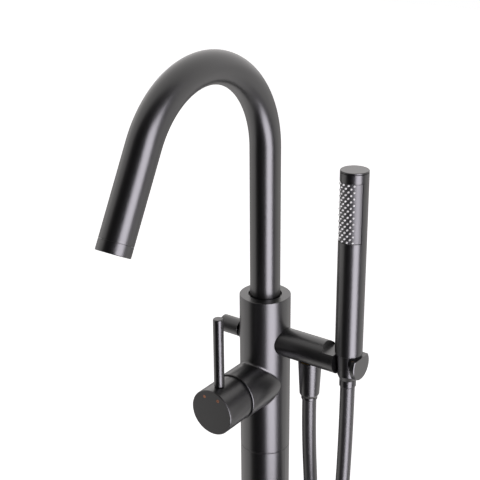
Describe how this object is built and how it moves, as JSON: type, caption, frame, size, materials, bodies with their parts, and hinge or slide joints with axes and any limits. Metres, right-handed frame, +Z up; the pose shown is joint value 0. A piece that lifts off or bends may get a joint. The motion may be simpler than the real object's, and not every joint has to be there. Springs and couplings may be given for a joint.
{
  "type": "floor standing bath filler",
  "caption": "Floor standing column mixer with a swan-neck swivel spout, a knob with an upright lever, and a slim hand shower on a side arm with a hanging hose.",
  "frame": {"origin": "on the floor under the column's axis, at the centre of the floor flange", "axes": "+Z up along the column; -Y towards the spout and the mixer knob; +X along the hand shower's arm; the diverter knob points to -X"},
  "size_m": [0.1708, 0.2969, 1.0999],
  "materials": {
    "satin_black": "fine matt black coating",
    "black_seal": "black rubber",
    "brass": "plain machined brass",
    "copper": "plain copper",
    "steel": "plain steel",
    "black_steel": "blackened steel",
    "ceramic": "ground ceramic",
    "white_plastic": "moulded acetal",
    "black_plastic": "moulded black plastic",
    "hose_skin": "smooth satin black hose",
    "nozzle_silicone": "pale grey silicone"
  },
  "bodies": {
    "stand": {"floor_flange": "steel", "base_set_screws": "black_steel", "base_cover": "satin_black", "cover_seal_ring": "black_seal", "standpipe": "satin_black", "column_joiner": "satin_black", "hot_inlet_union": "brass", "cold_inlet_union": "brass", "hot_supply_pipe": "copper", "cold_supply_pipe": "copper", "mixer_body": "satin_black", "cartridge_shell": "white_plastic", "cartridge_base": "white_plastic", "ceramic_seat_disc": "ceramic", "cartridge_seal_rings": "black_seal", "cartridge_nut": "brass", "spout_bush": "black_plastic", "spout_seals": "black_seal", "spout_set_screw": "black_steel", "diverter_bonnet": "satin_black", "handset_arm": "satin_black", "arm_seal_ring": "black_seal", "outlet_nipple": "brass", "check_valve": "white_plastic", "outlet_hose_nut": "satin_black", "outlet_hose_washer": "black_seal", "outlet_hose_ferrule": "satin_black", "shower_hose": "hose_skin"},
    "mixing_carrier": {"spindle_carrier": "brass", "ceramic_control_disc": "ceramic", "spindle_pin": "steel"},
    "knob": {"control_spindle": "brass", "knob_cap": "satin_black", "lever_pin": "satin_black", "knob_set_screw": "black_steel", "warm_mark": "copper", "cool_mark": "copper"},
    "spout": {"spout_tube": "satin_black", "aerator_housing": "satin_black", "aerator_insert": "black_plastic", "aerator_gasket": "black_seal"},
    "diverter": {"diverter_stem": "brass", "diverter_seal_ring": "black_seal", "diverter_knob": "satin_black", "diverter_set_screw": "black_steel"},
    "hose_end": {"handset_hose_nut": "satin_black", "handset_hose_washer": "black_seal", "handset_hose_ferrule": "satin_black"},
    "handset": {"handset_body": "satin_black", "handset_top_cap": "satin_black", "spray_panel": "black_plastic", "nozzle_pad": "nozzle_silicone", "handset_inlet_plug": "brass", "handset_bulkhead": "white_plastic", "handset_water_tube": "white_plastic"}
  },
  "joints": [
    {"name": "spout_swivel", "type": "hinge", "parent": "stand", "child": "spout", "pos_m": [0, 0, 0.85], "axis": [0, 0, 1], "range_deg": [-90, 90]},
    {"name": "temperature_turn", "type": "hinge", "parent": "stand", "child": "mixing_carrier", "pos_m": [0, -0.05, 0.7595], "axis": [0, -1, 0], "range_deg": [-45, 45]},
    {"name": "flow_tilt", "type": "hinge", "parent": "mixing_carrier", "child": "knob", "pos_m": [0, -0.0582, 0.7595], "axis": [1, 0, 0], "range_deg": [0, 20]},
    {"name": "diverter_pull", "type": "slide", "parent": "stand", "child": "diverter", "axis": [-1, 0, 0], "range_m": [0, 0.009]},
    {"name": "handset_lift", "type": "slide", "parent": "stand", "child": "hose_end", "axis": [0, 0, 1], "range_m": [0, 0.06]},
    {"name": "handset_turn", "type": "hinge", "parent": "hose_end", "child": "handset", "pos_m": [0.095, 0, 0.814], "axis": [0, 0, 1], "continuous": true}
  ]
}
